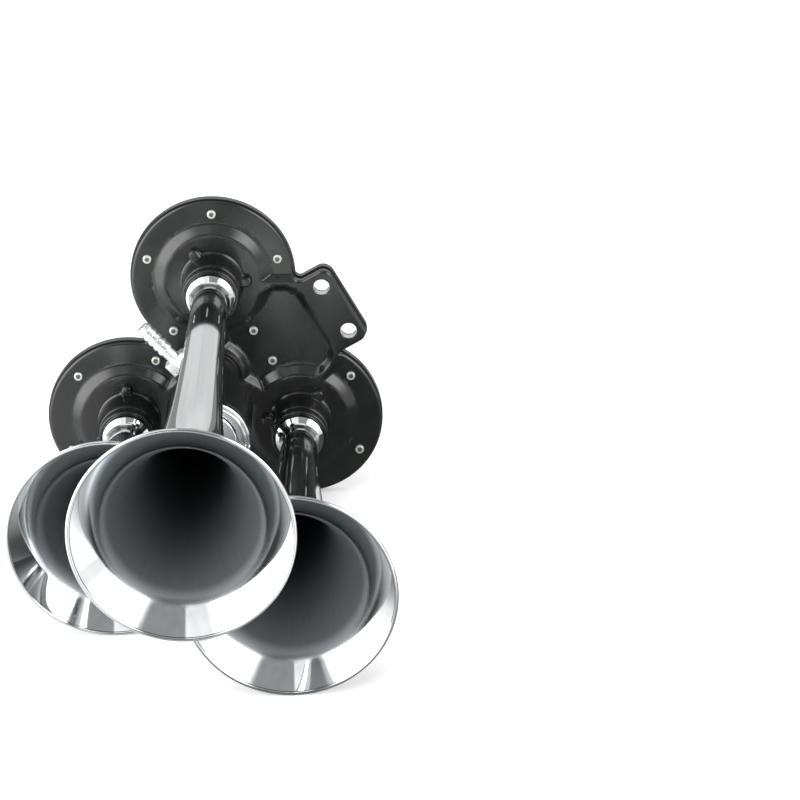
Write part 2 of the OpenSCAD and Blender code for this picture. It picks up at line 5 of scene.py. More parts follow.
import bmesh
import bpy
import numpy as np
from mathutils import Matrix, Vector
from mathutils.geometry import delaunay_2d_cdt


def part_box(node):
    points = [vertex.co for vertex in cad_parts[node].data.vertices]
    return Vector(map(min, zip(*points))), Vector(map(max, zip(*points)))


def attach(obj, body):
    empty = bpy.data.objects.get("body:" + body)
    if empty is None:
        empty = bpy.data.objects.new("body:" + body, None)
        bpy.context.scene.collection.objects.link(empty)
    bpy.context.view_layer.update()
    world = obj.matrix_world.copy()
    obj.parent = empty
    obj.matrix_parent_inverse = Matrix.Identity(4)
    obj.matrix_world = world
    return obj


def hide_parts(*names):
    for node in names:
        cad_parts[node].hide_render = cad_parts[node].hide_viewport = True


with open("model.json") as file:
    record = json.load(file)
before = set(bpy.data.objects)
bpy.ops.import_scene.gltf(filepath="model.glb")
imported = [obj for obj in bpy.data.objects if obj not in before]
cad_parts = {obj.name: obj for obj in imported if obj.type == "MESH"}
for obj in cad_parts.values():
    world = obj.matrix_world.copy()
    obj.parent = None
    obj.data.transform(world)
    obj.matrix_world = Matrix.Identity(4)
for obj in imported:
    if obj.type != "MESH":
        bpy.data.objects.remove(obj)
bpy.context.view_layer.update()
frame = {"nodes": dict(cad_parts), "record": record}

MM = 0.001

# Sizes in millimetres: the manifold, as in the CAD
DISC_SPACING = 100.0
DISC_R = 47.0
SHEET = 1.6
RAISE = 4.0
STEP_R = 33.5
STEP_RUN = 5.2
RIM_DEPTH = 2.8
WEB_FILLET = 7.0
CHANNEL_HALF_W = 8.5
CHANNEL_RUN = 3.0
MIDDLE_R = 17.5
TAB_REACH = 89.9
TAB_W = 49.0
TAB_SHIFT = 0.6
TAB_CORNER = 6.0
TAB_HOLE_R = 4.75
TAB_HOLE_PITCH = 31.0
TAB_HOLE_EDGE = 8.75
TAB_CORNER_FOOT = 3.6
TAB_NOTCH_R = 0.8
TAB_START = 40.0
TAB_AXIS = math.radians(30)
PAD_CORNER = 12.0
PAD_REACH = TAB_REACH - 24.2
PAD_HALF_W = TAB_W / 2 + 2.4
PAD_RUN = 3.2
NECK_OUT = 2.1
NECK_RUN = 2.7
RIM_FOOT_R = DISC_R + 0.2
RIM_FOOT_RUN = 3.0
RIM_ROUND = 0.3
HOLE_ROUND = 0.5
HOLE_POINTS = 40
# Steps between the plate's points, and how far they keep from its edge and its holes
FLAT_STEP = 2.6
SLOPE_STEP = 0.75
EDGE_ROOM = 0.45
HOLE_ROOM = 0.4
# How far the back cover stands out past the plate and behind it
COVER_PROUD = 0.8
COVER_BACK = -7.5
PITCH_R = DISC_SPACING / math.sqrt(3)
SIDE_MID = PITCH_R / 2
TAB_UPPER = TAB_W / 2 - TAB_SHIFT
TAB_LOWER = -TAB_W / 2 - TAB_SHIFT
HOLE_REACH = TAB_REACH - TAB_HOLE_EDGE
HOLE_MID = -TAB_SHIFT
# How softly the pressing's slopes run together and end, as shares of a slope, and a value far off every slope
SOFT_JOIN = 0.35
SOFT_END = 0.17
OFF_SLOPE = -9.0

# The trumpets
REACHES = {"trumpet_long": 375.0, "trumpet_short": 179.0, "trumpet_middle": 256.0}
DISC_OF = {"trumpet_long": 0, "trumpet_short": 1, "trumpet_middle": 2}
BELL_R = 58.0
CREASE_R = 43.0
CREASE_DEPTH = 15.2
BAND_SLOPE = 0.84
FLARE_LENGTH = 58.0
NECK_R = 10.2
TUBE_MOUTH_R = 14.0
WALL = 1.3
BEAD_R = 1.1
COLLAR_R = 13.8
FLANGE_R = 14.7
FLANGE_BASE = 28.6
FLANGE_TOP = 30.2
LIP_PLANE = 31.3
COLLAR_STRAIGHT = 33.7
COLLAR_END = 40.3
# The bright plating thins out from FADE_LENGTH - FADE_END in front of the crease to FADE_END behind it
FADE_END = 10.0
FADE_LENGTH = 16.0
CREASE_ROUND = 1.4
THROAT_R = NECK_R - WALL
# Faces round a trumpet, and the share of its depth by which the polishing streaks drift
HORN_FACES = 160
STREAK_DRIFT = 0.05

# The hubs, lock rings and screws
HUB_FOOT_R = 18.6
HUB_WAIST_R = 17.4
HUB_TOP_R = 16.5
HUB_TOP = RAISE + 20.0
SPIGOT_R = FLANGE_R + 0.15
SPIGOT_TOP = HUB_TOP + 4.0
LUG_AT = 19.6
LUG_R = 3.5
LUG_TOP = RAISE + 4.5
LUG_FILLET = 1.6
HUB_FACES = 240
# Degrees by which each hub's first lug is turned, for the top, left and right hub
LUG_TURN = (1, 93, 58)
LOCK_BASE = HUB_TOP + 0.3
LOCK_RING_R = 16.2
SCREW_CIRCLE_R = 39.5
SCREW_R = 1.5
SCREW_HEAD_R = 2.5
SCREW_HEAD_H = 1.7
SOCKET_W = 2.5
SOCKET_DEPTH = 1.0
SCREWS_PER_DISC = 5

# Brightness of the light tent's cloth, of its back, of the grey strip overhead and of the open front
CLOTH = 1.4
BACK = 0.92
STRIP = 0.42
DIM = 0.10
# Brightness of the two lamps behind the cloth, at the left and high on the right, in reflections
LAMPS = 6.0


def on_tab(along, across):
    """Plan point given along and across the bracket's axis."""
    c, s = math.cos(TAB_AXIS), math.sin(TAB_AXIS)
    return np.array([along * c - across * s, along * s + across * c])


def polar(r, degrees):
    """Plan point at a radius and a turn from the x axis."""
    return np.array([r * math.cos(math.radians(degrees)), r * math.sin(math.radians(degrees))])


DISCS = [polar(PITCH_R, 90 + 120 * i) for i in range(3)]
ORIGIN = on_tab(HOLE_REACH, HOLE_MID)
TAB_HOLES = [on_tab(HOLE_REACH, HOLE_MID + side * TAB_HOLE_PITCH / 2) for side in (-1, 1)]


def row(x, y, z):
    """Plan millimetres to the row's frame in metres."""
    return (x - ORIGIN[0]) * MM, -z * MM, (y - ORIGIN[1]) * MM


def linked(name, data):
    """New object in the scene."""
    obj = bpy.data.objects.new(name, data)
    bpy.context.scene.collection.objects.link(obj)
    return obj


def smooth_mesh(name, points, faces):
    """New mesh with smooth shading."""
    mesh = bpy.data.meshes.new(name)
    mesh.from_pydata(points, [], faces)
    mesh.polygons.foreach_set("use_smooth", [True] * len(mesh.polygons))
    mesh.update()
    return mesh


# Colours and materials

def hex_rgb(code):
    """Linear colour from an sRGB hex code."""
    parts = [int(code[k:k + 2], 16) / 255 for k in (1, 3, 5)]
    return [p / 12.92 if p <= 0.04045 else ((p + 0.055) / 1.055) ** 2.4 for p in parts] + [1.0]


def add(tree, kind, inputs=None, **settings):
    """Add a node. An input's value is a number, a colour or the output socket that feeds it."""
    node = tree.nodes.new(kind)
    for name, value in settings.items():
        setattr(node, name, value)
    for socket, value in (inputs or {}).items():
        if isinstance(value, bpy.types.NodeSocket):
            tree.links.new(value, node.inputs[socket])
        else:
            node.inputs[socket].default_value = value
    return node


def per_mm(size):
    """Scale of a noise whose features are size millimetres wide."""
    return 1000.0 / size


def spread_over(tree, value, low, high):
    """Spread the middle of a noise between two values."""
    return add(tree, "ShaderNodeMapRange", {"Value": value, "From Min": 0.32, "From Max": 0.68,
                                            "To Min": low, "To Max": high}).outputs["Result"]


def finish(name, colour, metallic, roughness, edge=0.0, grain=None, cloud=20.0, spread=0.0, tint=None):
    """Principled finish. Lengths are in millimetres.

    edge rounds the corners, grain is the width and height of the fine relief, and spread and tint vary
    the roughness and the colour over patches cloud wide.
    """
    mat = bpy.data.materials.new(name)
    mat.use_nodes = True
    mat.diffuse_color = hex_rgb(colour)
    tree = mat.node_tree
    shader = tree.nodes["Principled BSDF"]
    shader.inputs["Base Color"].default_value = hex_rgb(colour)
    shader.inputs["Metallic"].default_value = metallic
    shader.inputs["Roughness"].default_value = roughness
    place = add(tree, "ShaderNodeTexCoord").outputs["Object"]
    patches = add(tree, "ShaderNodeTexNoise", {"Vector": place, "Scale": per_mm(cloud), "Detail": 4.0})
    if spread:
        rough = spread_over(tree, patches.outputs["Fac"], max(roughness - spread, 0.0), roughness + spread)
        tree.links.new(rough, shader.inputs["Roughness"])
    if tint:
        share = spread_over(tree, patches.outputs["Fac"], 0.0, 1.0)
        mixed = add(tree, "ShaderNodeMix", {0: share, 6: hex_rgb(colour), 7: hex_rgb(tint)}, data_type="RGBA")
        tree.links.new(mixed.outputs[2], shader.inputs["Base Color"])
    bump = {}
    if edge:
        bump["Normal"] = add(tree, "ShaderNodeBevel", {"Radius": edge * MM}, samples=6).outputs["Normal"]
    if grain:
        relief = add(tree, "ShaderNodeTexNoise", {"Vector": place, "Scale": per_mm(grain[0]), "Detail": 3.0})
        bump.update({"Height": relief.outputs["Fac"], "Distance": grain[1] * MM, "Strength": 1.0})
        tree.links.new(add(tree, "ShaderNodeBump", bump).outputs["Normal"], shader.inputs["Normal"])
    elif edge:
        tree.links.new(bump["Normal"], shader.inputs["Normal"])
    return mat


# Stoved satin enamel on pressed steel: near black, with a soft sheen and a faint orange peel
enamel = finish("stoved_black_enamel", "#181919", 0.0, 0.20, grain=(2.2, 0.003), spread=0.04, tint="#1e1f1f")
# Sprayed gloss paint on the castings: deeper black and shinier than the plate, a little uneven
casting = finish("gloss_black_paint", "#141515", 0.0, 0.17, edge=0.5, grain=(2.8, 0.004), spread=0.05,
                 tint="#191a1a")
# Chrome plate over polished brass: mirror bright, its faint haze in patches
chrome = finish("bright_chrome_plate", "#cfd1d2", 1.0, 0.045, edge=0.2, cloud=35.0, spread=0.02)
# Zinc plate on small turned parts: pale silver that scatters its reflections, grain 0.5 mm
zinc = finish("bright_zinc_plate", "#e2e5e4", 0.75, 0.28, edge=0.15, grain=(0.5, 0.003), cloud=3.0,
              spread=0.08, tint="#d3d7d5")
# Passivated zinc on the screws: greyer and flatter, with painted shade darkening their sockets
screw_zinc = finish("passivated_zinc_screws", "#c9cdc6", 0.6, 0.36, cloud=3.0, spread=0.08)
screw_nodes = screw_zinc.node_tree
# The sockets' darker colour is painted shade where little light reaches in, marked by a point attribute on
# the screw mesh
painted_socket_shade = add(screw_nodes, "ShaderNodeAttribute", attribute_name="painted_socket_shade").outputs["Fac"]
shaded_socket_colour = add(screw_nodes, "ShaderNodeMix", {0: painted_socket_shade, 6: hex_rgb("#c9cdc6"), 7: hex_rgb("#6f726d")},
            data_type="RGBA")
screw_nodes.links.new(shaded_socket_colour.outputs[2], screw_nodes.nodes["Principled BSDF"].inputs["Base Color"])
# Moulded nitrile rubber: matt black with hardly any sheen
rubber = finish("nitrile_rubber", "#141414", 0.0, 0.62, grain=(0.6, 0.01), cloud=8.0, spread=0.06)
# Rolled spring steel sheet: grey metal with a dull lustre
spring = finish("rolled_spring_steel", "#9a9da0", 1.0, 0.34, grain=(0.8, 0.003), cloud=12.0, spread=0.07)


def bell_material():
    """Inside of a bell: mirror chrome on its band, thin grey plating that scatters the light deeper in."""
    mat = bpy.data.materials.new("thin_plating_inside_bell")
    mat.use_nodes = True
    mat.diffuse_color = hex_rgb("#8d9194")
    tree = mat.node_tree
    shader = tree.nodes["Principled BSDF"]
    plating = add(tree, "ShaderNodeAttribute", attribute_name="plating").outputs["Fac"]
    around = add(tree, "ShaderNodeAttribute", attribute_name="streak").outputs["Vector"]

    def over(low, high, start, end):
        """Value that goes from start to end while the plating goes from low to high."""
        return add(tree, "ShaderNodeMapRange", {"Value": plating, "From Min": low, "From Max": high,
                                                "To Min": start, "To Max": end}).outputs["Result"]

    def blended(share, first, second):
        return add(tree, "ShaderNodeMix", {0: share, 6: first, 7: second}, data_type="RGBA").outputs[2]

    # Polishing streaks run along the bell, 1.5 mm apart at the crease and coarser than real ones
    streaks = add(tree, "ShaderNodeTexNoise", {"Vector": around, "Scale": per_mm(1.5), "Detail": 2.0})
    streak_share = spread_over(tree, streaks.outputs["Fac"], 0.0, 1.0)
    dull = blended(streak_share, hex_rgb("#525658"), hex_rgb("#565a5c"))
    # A paler ring where the plating thins out behind the crease, and the mirror in front of it
    at_crease = 0.68
    ring = blended(over(0.05, at_crease, 0.0, 1.0), dull, hex_rgb("#a4a8ab"))
    tone = blended(over(at_crease, 0.92, 0.0, 1.0), ring, hex_rgb("#cfd1d2"))
    tree.links.new(tone, shader.inputs["Base Color"])
    tree.links.new(over(0.05, at_crease, 0.4, 1.0), shader.inputs["Metallic"])
    tree.links.new(over(0.5, 0.95, 0.5, 0.05), shader.inputs["Roughness"])
    return mat


bell_inside = bell_material()

SLOT_MATERIAL = {"black_enamel": enamel, "black_casting": casting, "chrome_plate": chrome, "zinc": zinc,
                 "seal_rubber": rubber, "spring_steel": spring}
for part in frame["record"]["subparts"]:
    node = frame["nodes"][part["node"]]
    node.data.materials.clear()
    node.data.materials.append(SLOT_MATERIAL[part["material_slot"]])


# Trumpets

class Field:
    """A number in a node tree. Arithmetic on it adds Math nodes."""

    def __init__(self, tree, source):
        self.tree = tree
        self.source = source

    def math(self, operation, *others):
        node = self.tree.nodes.new("ShaderNodeMath")
        node.operation = operation
        for k, value in enumerate((self,) + others):
            source = value.source if isinstance(value, Field) else value
            if isinstance(source, (int, float)):
                node.inputs[k].default_value = source
            else:
                self.tree.links.new(source, node.inputs[k])
        return Field(self.tree, node.outputs[0])

    def __add__(self, other):
        return self.math("ADD", other)

    __radd__ = __add__

    def __sub__(self, other):
        return self.math("SUBTRACT", other)

    def __rsub__(self, other):
        return Field(self.tree, other).math("SUBTRACT", self)

    def __mul__(self, other):
        return self.math("MULTIPLY", other)

    __rmul__ = __mul__

    def __truediv__(self, other):
        return self.math("DIVIDE", other)

    def __neg__(self):
        return self * -1.0

    def __pow__(self, other):
        return self.math("POWER", other)


def eased(t):
    """Field t held between 0 and 1, with a smooth start and end."""
    t = t.math("MAXIMUM", 0.0).math("MINIMUM", 1.0)
    return t * t * (3.0 - t * 2.0)


HORN_SIZES = ["Reach", "Bell Radius", "Crease Radius", "Crease Depth", "Band Slope", "Flare Length",
              "Neck Radius", "Tube Mouth Radius", "Wall", "Bead Radius", "Collar Radius", "Flange Radius",
              "Flange Base", "Flange Top", "Collar Straight", "Collar End", "Centre X", "Centre Y"]


def horn_tree():
    """Geometry Nodes tree of one trumpet. Lengths are in millimetres."""
    tree = bpy.data.node_groups.new("flared_trumpet", "GeometryNodeTree")
    for name in HORN_SIZES:
        tree.interface.new_socket(name, in_out="INPUT", socket_type="NodeSocketFloat")
    for name in ("Plating", "Bell Inside"):
        tree.interface.new_socket(name, in_out="INPUT", socket_type="NodeSocketMaterial")
    tree.interface.new_socket("Geometry", in_out="OUTPUT", socket_type="NodeSocketGeometry")
    inputs = tree.nodes.new("NodeGroupInput")
    sizes = [Field(tree, inputs.outputs[name]) for name in HORN_SIZES]
    (reach, bell, crease, depth, slope, flare, neck, mouth, wall, bead, collar, flange, base, top,
     straight_end, collar_end, centre_x, centre_y) = sizes
    bell_mid = bell - bead
    band_depth = depth - bead
    bend = (bell_mid - crease - slope * band_depth) / (band_depth * band_depth)

    def tube(u):
        """Middle of the wall of the plain taper at u behind the rim."""
        return neck - wall * 0.5 + (mouth - neck) * (reach - u - collar_end) / (reach - collar_end)

    def fall(u):
        """The flare's dying away behind the crease."""
        return (-(u - depth) / flare).math("EXPONENT")

    def wall_at(u):
        """Middle of the wall at u behind the rim, with the crease a little rounded."""
        v = depth - u
        band = crease + slope * v + bend * v * v
        share = (fall(u) - fall(reach - collar_end)) / (1.0 - fall(reach - collar_end))
        horn = tube(u) + (crease - tube(depth)) * share
        near = u.math("LESS_THAN", depth + CREASE_ROUND * 5.0)
        return band.math("SMOOTH_MAX", horn, CREASE_ROUND) * near + horn * (1.0 - near)

    def half_wall(u):
        """Half the wall's thickness, measured across the bell's axis."""
        fall_off = wall_at(u - 0.5) - wall_at(u + 0.5)
        return wall * 0.5 * (fall_off * fall_off + 1.0).math("SQRT")

    def skin(rows, profile, material):
        """Surface of revolution. profile gives radius, height and plating for t from 0 to 1."""
        grid = add(tree, "GeometryNodeMeshGrid", {"Size X": 1.0, "Size Y": 1.0, "Vertices X": rows,
                                                  "Vertices Y": HORN_FACES + 1})
        split = add(tree, "ShaderNodeSeparateXYZ", {0: add(tree, "GeometryNodeInputPosition").outputs[0]})
        r, h, plating = profile(Field(tree, split.outputs["X"]) + 0.5)
        turn = (Field(tree, split.outputs["Y"]) + 0.5) * (2 * math.pi)
        cosine, sine = turn.math("COSINE"), turn.math("SINE")
        store = add(tree, "GeometryNodeStoreNamedAttribute", {
            "Geometry": grid.outputs["Mesh"], "Name": "plating",
            "Value": getattr(plating, "source", plating)})
        # Points that differ by the direction round the bell, and hardly by the depth
        lines = add(tree, "ShaderNodeCombineXYZ", {
            "X": (cosine * (CREASE_R * MM)).source, "Y": (h * (STREAK_DRIFT * MM)).source,
            "Z": (sine * (CREASE_R * MM)).source})
        streak = add(tree, "GeometryNodeStoreNamedAttribute", {
            "Geometry": store.outputs[0], "Name": "streak"}, data_type="FLOAT_VECTOR")
        tree.links.new(lines.outputs[0], streak.inputs["Value"])
        where = add(tree, "ShaderNodeCombineXYZ", {
            "X": ((centre_x + r * cosine) * MM).source, "Y": (h * -MM).source,
            "Z": ((centre_y + r * sine) * MM).source})
        move = add(tree, "GeometryNodeSetPosition", {"Geometry": streak.outputs[0],
                                                     "Position": where.outputs[0]})
        weld = add(tree, "GeometryNodeMergeByDistance", {"Geometry": move.outputs[0], "Distance": 1e-6})
        return add(tree, "GeometryNodeSetMaterial",
                   {"Geometry": weld.outputs[0], "Material": inputs.outputs[material]}).outputs[0]

    def stations(t):
        """Depth behind the rim. The rows lie closest near the rim, where the curve is sharpest."""
        return bead + (reach - collar_end - bead) * t ** 1.6

    def inner(t):
        u = stations(1.0 - t)
        return wall_at(u) - half_wall(u), reach - u, eased((depth + FADE_END - u) / FADE_LENGTH)

    def outer(t):
        u = stations(t)
        return wall_at(u) + half_wall(u), reach - u, 1.0

    def lip(t):
        """End face of the wall, inside the rolled rim."""
        return wall_at(bead) + half_wall(bead) * (t * 2.0 - 1.0), reach - bead, 1.0

    def rim(t):
        turn = t * (-2 * math.pi)
        return bell_mid + bead * turn.math("COSINE"), reach - bead + bead * turn.math("SINE"), 1.0

    def hollow(t):
        """Hollow sweep from the tube out to the collar."""
        return neck + (collar - neck) * t * t, collar_end + (straight_end - collar_end) * t, 1.0

    def straight(r0, h0, r1, h1):
        """Straight line from one radius and height to another."""
        return lambda t: (r0 + (r1 - r0) * t, h0 + (h1 - h0) * t, 1.0)

    throat = neck - wall
    join = add(tree, "GeometryNodeJoinGeometry")
    for part in (
            skin(120, inner, "Bell Inside"),
            skin(120, outer, "Plating"),
            skin(2, lip, "Plating"),
            skin(25, rim, "Plating"),
            skin(16, hollow, "Plating"),
            skin(2, straight(collar, straight_end, collar, top), "Plating"),
            skin(2, straight(collar, top, flange, top), "Plating"),
            skin(2, straight(flange, top, flange, base), "Plating"),
            skin(2, straight(flange, base, throat, base), "Plating"),
            skin(8, straight(throat, base, throat, collar_end), "Bell Inside")):
        tree.links.new(part, join.inputs[0])
    whole = add(tree, "GeometryNodeRealizeInstances", {"Geometry": join.outputs[0]})
    closed = add(tree, "GeometryNodeMergeByDistance", {"Geometry": whole.outputs[0], "Distance": 2e-5})
    smooth = add(tree, "GeometryNodeSetShadeSmooth", {"Geometry": closed.outputs[0]})
    tree.links.new(smooth.outputs[0], tree.nodes.new("NodeGroupOutput").inputs[0])
    return tree


def grown(name, tree, settings, seed=None):
    """Plain mesh object made by a Geometry Nodes tree from its named inputs and, where given, a seed mesh."""
    obj = linked(name, seed or bpy.data.meshes.new(name))
    modifier = obj.modifiers.new("grow", "NODES")
    modifier.node_group = tree
    for item in tree.interface.items_tree:
        if item.in_out == "INPUT" and item.socket_type != "NodeSocketGeometry":
            modifier[item.identifier] = settings[item.name]
    bpy.context.view_layer.update()
    mesh = bpy.data.meshes.new_from_object(obj.evaluated_get(bpy.context.evaluated_depsgraph_get()))
    obj.modifiers.clear()
    obj.data = mesh
    mesh.name = name
    return obj


trumpet_tree = horn_tree()
for name, reach in REACHES.items():
    centre = DISCS[DISC_OF[name]] - ORIGIN
    settings = dict(zip(HORN_SIZES, [
        reach, BELL_R, CREASE_R, CREASE_DEPTH, BAND_SLOPE, FLARE_LENGTH, NECK_R, TUBE_MOUTH_R, WALL, BEAD_R,
        COLLAR_R, FLANGE_R, FLANGE_BASE, FLANGE_TOP, COLLAR_STRAIGHT, COLLAR_END, float(centre[0]),
        float(centre[1])]))
    settings.update({"Plating": chrome, "Bell Inside": bell_inside})
    horn = grown("smooth_" + name, trumpet_tree, settings)
    horn.data.set_sharp_from_angle(angle=math.radians(40))
    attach(horn, "root")
    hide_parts(name)


# Pressed front plate

def corner_at(r, edge, disc_across, side):
    """Centre of the hollow corner of radius r between the bracket's edge and the disc beside it."""
    across = edge + side * r
    return on_tab(SIDE_MID + math.sqrt((DISC_R + r) ** 2 - (disc_across - across) ** 2), across)


def plate_loop(g, step=2.0):
    """Outline of the manifold grown by g, counter-clockwise. The points match one to one for every g."""
    web_out = math.sqrt((DISC_R + WEB_FILLET) ** 2 - (DISC_SPACING / 2) ** 2)
    web = [polar(SIDE_MID + web_out, 150), polar(SIDE_MID + web_out, 270)]
    upper = corner_at(TAB_CORNER_FOOT, TAB_UPPER, DISC_SPACING / 2, 1)
    lower = corner_at(TAB_NOTCH_R, TAB_LOWER, -DISC_SPACING / 2, -1)
    outer_low = on_tab(TAB_REACH - TAB_CORNER, TAB_LOWER + TAB_CORNER)
    outer_high = on_tab(TAB_REACH - TAB_CORNER, TAB_UPPER - TAB_CORNER)

    def heading(a, b):
        return math.atan2(b[1] - a[1], b[0] - a[0])

    def arc(centre, radius, start, end, turn, base_radius):
        """Arc from start to just before end, counter-clockwise for turn 1 and clockwise for -1."""
        sweep = (end - start) * turn % (2 * math.pi)
        count = max(int(math.ceil(sweep * base_radius / step)), 4)
        turns = [start + turn * sweep * k / count for k in range(count)]
        return [centre + radius * np.array([math.cos(a), math.sin(a)]) for a in turns]

    # The last number sets how many points an arc gets, whatever g is
    web_r, notch_r, tab_r = 2.0 * WEB_FILLET, 6.0, 10.0
    quarter = math.pi / 2
    top, left, right = DISCS
    points = arc(top, DISC_R + g, heading(top, upper), heading(top, web[0]), 1, DISC_R)
    points += arc(web[0], WEB_FILLET - g, heading(web[0], top), heading(web[0], left), -1, web_r)
    points += arc(left, DISC_R + g, heading(left, web[0]), heading(left, web[1]), 1, DISC_R)
    points += arc(web[1], WEB_FILLET - g, heading(web[1], left), heading(web[1], right), -1, web_r)
    points += arc(right, DISC_R + g, heading(right, web[1]), heading(right, lower), 1, DISC_R)
    points += arc(lower, max(TAB_NOTCH_R - g, 0.2), heading(lower, right), TAB_AXIS + quarter, -1, notch_r)
    points += arc(outer_low, TAB_CORNER + g, TAB_AXIS - quarter, TAB_AXIS, 1, tab_r)
    points += arc(outer_high, TAB_CORNER + g, TAB_AXIS, TAB_AXIS + quarter, 1, tab_r)
    points += arc(upper, TAB_CORNER_FOOT - g, TAB_AXIS - quarter, heading(upper, top), -1, tab_r)
    return np.array(points)


def ramp(t, soft):
    """0 below 0 and 1 above 1, with rounded ends of half-width soft."""
    low = np.where(t < -soft, 0.0, np.where(t < soft, (t + soft) ** 2 / (4 * soft), t))
    high = 1.0 - np.where(t > 1 + soft, 0.0, np.where(t > 1 - soft, (1 + soft - t) ** 2 / (4 * soft), 1 - t))
    return np.where(t < 0.5, low, high)


def soft_max(a, b, k):
    """Larger of two values, run together where they differ by less than k."""
    h = np.maximum(k - np.abs(a - b), 0.0) / k
    return np.maximum(a, b) + h * h * k / 4


def soft_min(a, b, k):
    return -soft_max(-a, -b, k)


def plate_height(p):
    """Height of the pressed skin over the flange face at plan points p."""
    x, y = p[:, 0], p[:, 1]
    c, s = math.cos(TAB_AXIS), math.sin(TAB_AXIS)
    along, across = x * c + y * s, -x * s + y * c
    mirrored_y = along * s - across * c
    lift = (MIDDLE_R + CHANNEL_RUN - np.hypot(x, y)) / CHANNEL_RUN
    for i, centre in enumerate(DISCS):
        a = math.radians(90 + 120 * i)
        way, side = x * math.cos(a) + y * math.sin(a), -x * math.sin(a) + y * math.cos(a)
        bar = np.where((way > 0) & (way < PITCH_R), (CHANNEL_HALF_W - np.abs(side)) / CHANNEL_RUN, OFF_SLOPE)
        lift = soft_max(lift, bar, SOFT_JOIN)
        lift = soft_max(lift, (STEP_R - np.hypot(x - centre[0], y - centre[1])) / STEP_RUN, SOFT_JOIN)

    def beside(up, centre):
        """Slope from a disc's line and rim up to the bracket."""
        line = (PITCH_R + NECK_OUT - up) / NECK_RUN
        rim = (np.hypot(x - centre[0], y - centre[1]) - RIM_FOOT_R) / RIM_FOOT_RUN
        return soft_max(line, rim, SOFT_JOIN)

    upper, lower = beside(y, DISCS[0]), beside(mirrored_y, DISCS[2])
    mid = (PAD_REACH - PITCH_R) / 2
    qx = np.abs(along - mid) - (PAD_REACH + PITCH_R) / 2 + PAD_CORNER
    qy = np.abs(across + TAB_SHIFT) - PAD_HALF_W + PAD_CORNER
    pad = np.minimum(np.maximum(qx, qy), 0) + np.hypot(np.maximum(qx, 0), np.maximum(qy, 0)) - PAD_CORNER
    tab = soft_min(soft_min(upper, lower, SOFT_JOIN), pad / PAD_RUN, SOFT_JOIN)
    tab = np.where(along > TAB_START, tab, OFF_SLOPE)
    return RAISE * ramp(soft_max(lift, tab, SOFT_JOIN), SOFT_END)


def inside(points, loop):
    """Which points lie inside a closed loop."""
    hit = np.zeros(len(points), bool)
    x, y = points[:, 0], points[:, 1]
    for (x0, y0), (x1, y1) in zip(loop, np.roll(loop, -1, axis=0)):
        if y0 == y1:
            continue
        crosses = ((y0 > y) != (y1 > y)) & (x < x0 + (y - y0) * (x1 - x0) / (y1 - y0))
        hit ^= crosses
    return hit


def circle(centre, r, count):
    """Plan points round a centre, counter-clockwise."""
    turn = np.linspace(0, 2 * np.pi, count, endpoint=False)
    return centre + r * np.stack([np.cos(turn), np.sin(turn)], 1)


def lattice(step):
    """Staggered points over the manifold, in nearly equal-sided triangles."""
    x = np.arange(-105, 105, step)
    y = np.arange(-90, 112, step * 0.866)
    gx, gy = np.meshgrid(x, y)
    gx = gx + (np.arange(len(y)) % 2)[:, None] * step / 2
    return np.stack([gx.ravel(), gy.ravel()], 1)


def plate_plan(edge, hole_loops):
    """Plan points and triangles of the plate inside its edge, and the points along the edge and each hole."""
    room = plate_loop(-SHEET - EDGE_ROOM)
    # Points lie close together on the slopes and far apart on the flats
    coarse, fine = lattice(FLAT_STEP), lattice(SLOPE_STEP)
    lift = plate_height(fine) / RAISE
    fine = fine[(lift > 0.002) & (lift < 0.998)]
    field = np.concatenate([fine, coarse[np.abs(plate_height(coarse) / RAISE - 0.5) > 0.49]])
    field = field[inside(field, room)]
    for centre in TAB_HOLES:
        field = field[~inside(field, circle(centre, TAB_HOLE_R + HOLE_ROUND + HOLE_ROOM, HOLE_POINTS))]
    loops = [edge] + hole_loops
    points, edges, starts = [], [], []
    for loop in loops:
        start = len(points)
        starts.append(start)
        points += [tuple(q) for q in loop]
        edges += [(start + k, start + (k + 1) % len(loop)) for k in range(len(loop))]
    points += [tuple(q) for q in field]
    verts, _, faces, made_from, _, _ = delaunay_2d_cdt([Vector(q) for q in points], edges, [], 0, 1e-5)
    plan = np.array([tuple(v) for v in verts])
    corners = np.array([list(f)[:3] for f in faces])
    middles = plan[corners].mean(1)
    keep = inside(middles, edge)
    for loop in hole_loops:
        keep &= ~inside(middles, loop)
    corners = corners[keep]
    a, b, c = plan[corners[:, 0]], plan[corners[:, 1]], plan[corners[:, 2]]
    clockwise = (b[:, 0] - a[:, 0]) * (c[:, 1] - a[:, 1]) - (b[:, 1] - a[:, 1]) * (c[:, 0] - a[:, 0]) < 0
    corners[clockwise] = corners[clockwise][:, ::-1]
    place = {k: n for n, group in enumerate(made_from) for k in group}
    borders = [[place[start + k] for k in range(len(loop))] for start, loop in zip(starts, loops)]
    return plan, corners, borders


def outward(loop):
    """Directions out of a counter-clockwise loop, one for each point."""
    d = np.roll(loop, -1, axis=0) - np.roll(loop, 1, axis=0)
    n = np.stack([d[:, 1], -d[:, 0]], 1)
    return n / np.maximum(np.linalg.norm(n, axis=1), 1e-9)[:, None]


